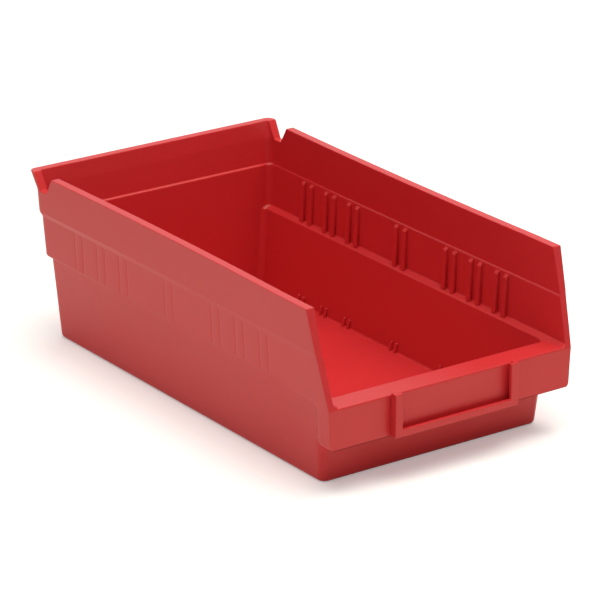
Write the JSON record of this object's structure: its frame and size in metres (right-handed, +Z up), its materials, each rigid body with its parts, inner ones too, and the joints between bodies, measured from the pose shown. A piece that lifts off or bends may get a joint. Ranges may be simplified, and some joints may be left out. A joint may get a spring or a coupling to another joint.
{
  "type": "art supply storage bin",
  "caption": "Open-topped moulded plastic bin for art supplies, with a low hopper front, label holder, stepped side walls with divider ribs and a rear hanging lip.",
  "frame": {"origin": "middle of the overall box in X and Y, at the underside of the floor", "axes": "+X right, -Y towards the open hopper front, +Y towards the rear lip, +Z up"},
  "size_m": [0.1684, 0.2954, 0.1016],
  "materials": {
    "red_plastic": "satin moulded polypropylene"
  },
  "bodies": {
    "root": {"floor_pan": "red_plastic", "front_wall": "red_plastic", "back_wall": "red_plastic", "left_side_wall": "red_plastic", "right_side_wall": "red_plastic", "rear_hang_lip": "red_plastic", "front_ledge": "red_plastic", "label_panel": "red_plastic", "left_cheek": "red_plastic", "right_cheek": "red_plastic", "label_holder": "red_plastic", "left_divider_ribs": "red_plastic", "right_divider_ribs": "red_plastic", "left_floor_ribs": "red_plastic", "right_floor_ribs": "red_plastic"}
  },
  "joints": []
}
